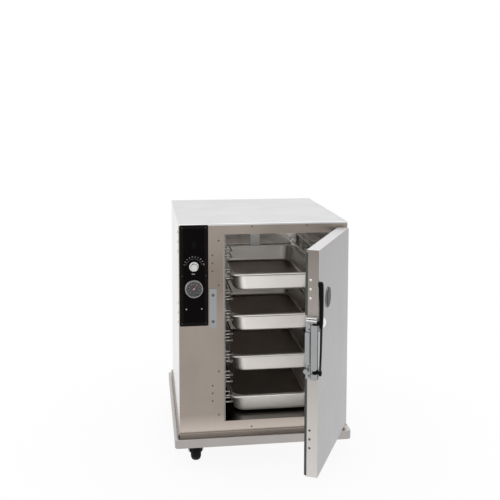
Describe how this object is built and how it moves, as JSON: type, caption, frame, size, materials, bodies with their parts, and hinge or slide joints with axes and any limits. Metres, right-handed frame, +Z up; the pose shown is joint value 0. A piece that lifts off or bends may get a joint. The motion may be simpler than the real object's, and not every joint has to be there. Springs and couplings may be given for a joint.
{
  "type": "heated holding cabinet",
  "caption": "Undercounter heated holding cabinet on braked casters with a hinged insulated door, edge latch, control panel, wire slides and food pans.",
  "frame": {"origin": "on the floor under the middle of the cabinet's body", "axes": "+Z up, the front and the door face -Y, +X to the right seen from the front"},
  "size_m": [0.611, 1.0737, 0.84],
  "materials": {
    "casing_steel": "brushed stainless sheet",
    "liner_steel": "dull stainless sheet",
    "rack_steel": "plated wire",
    "pan_steel": "satin stainless",
    "door_steel": "brushed stainless sheet",
    "bumper_steel": "brushed metal strip",
    "insulation": "mineral wool",
    "panel_black": "gloss black overlay",
    "control_plastic": "black moulding",
    "bright_metal": "bright plated",
    "needle_red": "red enamel",
    "lens_glass": "clear glass",
    "lamp_clear": "translucent lens",
    "plain_steel": "plated steel",
    "gasket_rubber": "silicone seal",
    "handle_black": "black moulding",
    "magnet_grey": "cased magnet",
    "wheel_rubber": "black solid tread",
    "pedal_black": "black enamel"
  },
  "bodies": {
    "cabinet": {"top_panel": "casing_steel", "left_panel": "casing_steel", "right_panel": "casing_steel", "back_panel": "casing_steel", "face_frame": "casing_steel", "base_pan": "casing_steel", "compartment_wall": "casing_steel", "inner_liner": "liner_steel", "sensor_guard": "liner_steel", "slide_rack_left": "rack_steel", "slide_rack_right": "rack_steel", "bumper": "bumper_steel", "insulation": "insulation", "control_panel": "panel_black", "switch_housing": "control_plastic", "thermostat": "control_plastic", "terminal_block": "control_plastic", "power_inlet": "control_plastic", "thermometer_case": "bright_metal", "panel_screws": "bright_metal", "frame_screws": "bright_metal", "hinge_frame_leaves": "bright_metal", "hinge_pins": "bright_metal", "strike_plate": "bright_metal", "thermometer_lens": "lens_glass", "pilot_lights": "lamp_clear", "sensor_bulb": "plain_steel", "heating_element": "plain_steel", "caster_plates": "plain_steel"},
    "door": {"door_outer": "door_steel", "door_inner": "door_steel", "door_insulation": "insulation", "door_gasket": "gasket_rubber", "door_screws": "bright_metal", "hinge_door_leaves": "bright_metal", "latch_base": "bright_metal", "latch_magnet": "magnet_grey", "latch_pin": "plain_steel"},
    "latch_lever": {"latch_handle": "handle_black"},
    "knob": {"knob": "bright_metal"},
    "rocker": {"rocker": "control_plastic"},
    "needle": {"thermometer_needle": "needle_red"},
    "pan_1": {"pan_1": "pan_steel"},
    "pan_2": {"pan_2": "pan_steel"},
    "pan_3": {"pan_3": "pan_steel"},
    "pan_4": {"pan_4": "pan_steel"},
    "caster_front_left_swivel": {"caster_front_left_fork": "plain_steel", "caster_front_left_axle": "plain_steel"},
    "caster_front_left_wheel": {"caster_front_left_wheel": "wheel_rubber"},
    "caster_front_right_swivel": {"caster_front_right_fork": "plain_steel", "caster_front_right_axle": "plain_steel"},
    "caster_front_right_wheel": {"caster_front_right_wheel": "wheel_rubber"},
    "caster_back_left_swivel": {"caster_back_left_fork": "plain_steel", "caster_back_left_axle": "plain_steel"},
    "caster_back_left_wheel": {"caster_back_left_wheel": "wheel_rubber"},
    "caster_back_right_swivel": {"caster_back_right_fork": "plain_steel", "caster_back_right_axle": "plain_steel"},
    "caster_back_right_wheel": {"caster_back_right_wheel": "wheel_rubber"},
    "caster_front_left_pedal": {"caster_front_left_pedal": "pedal_black"},
    "caster_front_right_pedal": {"caster_front_right_pedal": "pedal_black"}
  },
  "joints": [
    {"name": "door_hinge", "type": "hinge", "parent": "cabinet", "child": "door", "pos_m": [0.2596, -0.324, 0.48175], "axis": [0, 0, 1], "range_deg": [-63.57, 48]},
    {"name": "latch_lever_turn", "type": "hinge", "parent": "door", "child": "latch_lever", "pos_m": [0.08497, -0.72476, 0.537], "axis": [0, 0, -1], "range_deg": [0, 22], "stiffness_Nm_per_rad": 0.3},
    {"name": "knob_turn", "type": "hinge", "parent": "cabinet", "child": "knob", "pos_m": [-0.23755, -0.323, 0.6977], "axis": [0, 1, 0], "range_deg": [-135, 135]},
    {"name": "rocker_tilt", "type": "hinge", "parent": "cabinet", "child": "rocker", "pos_m": [-0.23755, -0.31, 0.7732], "axis": [1, 0, 0], "range_deg": [0, 16]},
    {"name": "needle_turn", "type": "hinge", "parent": "cabinet", "child": "needle", "pos_m": [-0.23755, -0.317, 0.6217], "axis": [0, 1, 0], "range_deg": [-170, 90]},
    {"name": "pan_1_slide", "type": "slide", "parent": "cabinet", "child": "pan_1", "axis": [0, -1, 0], "range_m": [0, 0.04]},
    {"name": "pan_2_slide", "type": "slide", "parent": "cabinet", "child": "pan_2", "axis": [0, -1, 0], "range_m": [0, 0.04]},
    {"name": "pan_3_slide", "type": "slide", "parent": "cabinet", "child": "pan_3", "axis": [0, -1, 0], "range_m": [0, 0.04]},
    {"name": "pan_4_slide", "type": "slide", "parent": "cabinet", "child": "pan_4", "axis": [0, -1, 0], "range_m": [0, 0.04]},
    {"name": "caster_front_left_turn", "type": "hinge", "parent": "cabinet", "child": "caster_front_left_swivel", "pos_m": [-0.2305, -0.2315, 0.095], "axis": [0, 0, 1], "continuous": true},
    {"name": "caster_front_left_roll", "type": "hinge", "parent": "caster_front_left_swivel", "child": "caster_front_left_wheel", "pos_m": [-0.2305, -0.2545, 0.0375], "axis": [1, 0, 0], "continuous": true},
    {"name": "caster_front_left_brake", "type": "hinge", "parent": "caster_front_left_swivel", "child": "caster_front_left_pedal", "pos_m": [-0.2305, -0.2415, 0.084], "axis": [1, 0, 0], "range_deg": [0, 6]},
    {"name": "caster_front_right_turn", "type": "hinge", "parent": "cabinet", "child": "caster_front_right_swivel", "pos_m": [0.2305, -0.2315, 0.095], "axis": [0, 0, 1], "continuous": true},
    {"name": "caster_front_right_roll", "type": "hinge", "parent": "caster_front_right_swivel", "child": "caster_front_right_wheel", "pos_m": [0.2305, -0.2545, 0.0375], "axis": [1, 0, 0], "continuous": true},
    {"name": "caster_front_right_brake", "type": "hinge", "parent": "caster_front_right_swivel", "child": "caster_front_right_pedal", "pos_m": [0.2305, -0.2415, 0.084], "axis": [1, 0, 0], "range_deg": [0, 6]},
    {"name": "caster_back_left_turn", "type": "hinge", "parent": "cabinet", "child": "caster_back_left_swivel", "pos_m": [-0.2305, 0.2315, 0.095], "axis": [0, 0, 1], "continuous": true},
    {"name": "caster_back_left_roll", "type": "hinge", "parent": "caster_back_left_swivel", "child": "caster_back_left_wheel", "pos_m": [-0.2305, 0.2085, 0.0375], "axis": [1, 0, 0], "continuous": true},
    {"name": "caster_back_right_turn", "type": "hinge", "parent": "cabinet", "child": "caster_back_right_swivel", "pos_m": [0.2305, 0.2315, 0.095], "axis": [0, 0, 1], "continuous": true},
    {"name": "caster_back_right_roll", "type": "hinge", "parent": "caster_back_right_swivel", "child": "caster_back_right_wheel", "pos_m": [0.2305, 0.2085, 0.0375], "axis": [1, 0, 0], "continuous": true}
  ]
}
